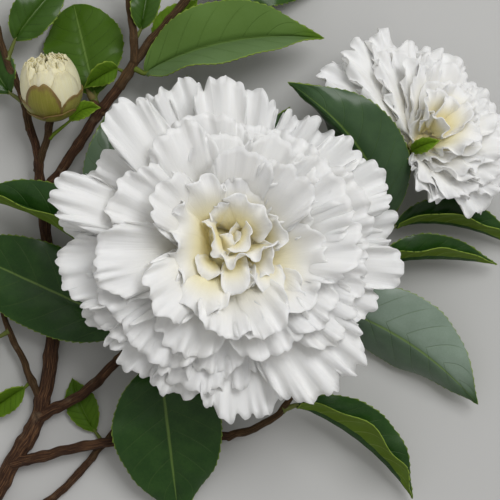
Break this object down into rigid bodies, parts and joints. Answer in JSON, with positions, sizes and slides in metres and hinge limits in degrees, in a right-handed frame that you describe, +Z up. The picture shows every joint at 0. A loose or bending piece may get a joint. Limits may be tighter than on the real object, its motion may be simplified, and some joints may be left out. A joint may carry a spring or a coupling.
{
  "type": "camellia branch",
  "caption": "Cut flowering branch with glossy toothed leaves, a wide ruffled white bloom, a smaller leaning bloom and a swelling bud, lying flat as on a table.",
  "frame": {"origin": "middle of the branch's box in plan, on the table that it lies on", "axes": "+Z up from the table and out of the face of the wide bloom; +Y from the cut end's side towards the top sprays, the way the stem runs; +X towards the smaller bloom"},
  "size_m": [0.1703, 0.1956, 0.0542],
  "materials": {
    "bark": "rough reddish brown bark",
    "leaf": "glossy dark green",
    "petal": "soft matt white",
    "bud": "satin cream and green"
  },
  "bodies": {
    "root": {"main_stem": "bark", "flowering_stem": "bark", "lower_stem": "bark", "low_side_stem": "bark", "upper_left_stem": "bark", "diagonal_stem": "bark", "bloom_spray": "leaf", "second_bloom_spray": "leaf", "lower_spray": "leaf", "low_side_spray": "leaf", "left_spray": "leaf", "upper_left_spray": "leaf", "bud_spray": "leaf", "behind_bud_spray": "leaf", "top_spray": "leaf", "fork_spray": "leaf", "main_bloom": "petal", "second_bloom": "petal", "flower_bud": "bud"}
  },
  "joints": []
}
